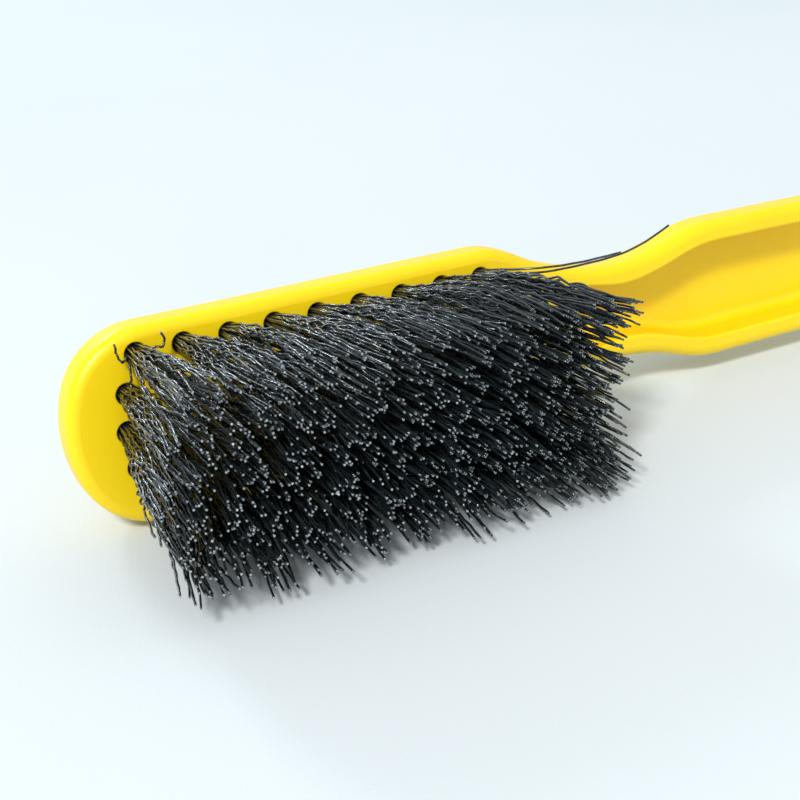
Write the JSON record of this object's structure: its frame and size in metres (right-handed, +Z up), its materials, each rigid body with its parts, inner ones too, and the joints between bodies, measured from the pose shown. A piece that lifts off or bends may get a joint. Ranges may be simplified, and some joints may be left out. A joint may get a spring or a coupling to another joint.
{
  "type": "bee brush",
  "caption": "Hand brush for moving bees: round-ended yellow plastic head with rows of long black crimped bristles and a waisted handle with a finger channel.",
  "frame": {"origin": "on the table that the brush lies on, under the middle of its overall box", "axes": "+X along the brush from the toe of the head to the handle end, +Z up from the table, -Y the way the bristles point, tipped up by 11.25 degrees"},
  "size_m": [0.32, 0.0692, 0.0546],
  "materials": {
    "yellow_plastic": "glossy injection-moulded polypropylene",
    "black_bristle": "satin crimped synthetic filament",
    "anchor_wire": "plain drawn wire"
  },
  "bodies": {
    "root": {"brush_body": "yellow_plastic", "anchors_row_1": "anchor_wire", "anchors_row_2": "anchor_wire", "anchors_row_3": "anchor_wire", "anchors_row_4": "anchor_wire", "anchors_row_5": "anchor_wire", "tuft_row_1_1": "black_bristle", "tuft_row_1_2": "black_bristle", "tuft_row_1_3": "black_bristle", "tuft_row_1_4": "black_bristle", "tuft_row_1_5": "black_bristle", "tuft_row_1_6": "black_bristle", "tuft_row_1_7": "black_bristle", "tuft_row_1_8": "black_bristle", "tuft_row_1_9": "black_bristle", "tuft_row_2_1": "black_bristle", "tuft_row_2_2": "black_bristle", "tuft_row_2_3": "black_bristle", "tuft_row_2_4": "black_bristle", "tuft_row_2_5": "black_bristle", "tuft_row_2_6": "black_bristle", "tuft_row_2_7": "black_bristle", "tuft_row_2_8": "black_bristle", "tuft_row_2_9": "black_bristle", "tuft_row_3_1": "black_bristle", "tuft_row_3_2": "black_bristle", "tuft_row_3_3": "black_bristle", "tuft_row_3_4": "black_bristle", "tuft_row_3_5": "black_bristle", "tuft_row_3_6": "black_bristle", "tuft_row_3_7": "black_bristle", "tuft_row_3_8": "black_bristle", "tuft_row_3_9": "black_bristle", "tuft_row_4_1": "black_bristle", "tuft_row_4_2": "black_bristle", "tuft_row_4_3": "black_bristle", "tuft_row_4_4": "black_bristle", "tuft_row_4_5": "black_bristle", "tuft_row_4_6": "black_bristle", "tuft_row_4_7": "black_bristle", "tuft_row_4_8": "black_bristle", "tuft_row_4_9": "black_bristle", "tuft_row_5_1": "black_bristle", "tuft_row_5_2": "black_bristle", "tuft_row_5_3": "black_bristle", "tuft_row_5_4": "black_bristle", "tuft_row_5_5": "black_bristle", "tuft_row_5_6": "black_bristle", "tuft_row_5_7": "black_bristle", "tuft_row_5_8": "black_bristle", "tuft_row_5_9": "black_bristle"}
  },
  "joints": []
}
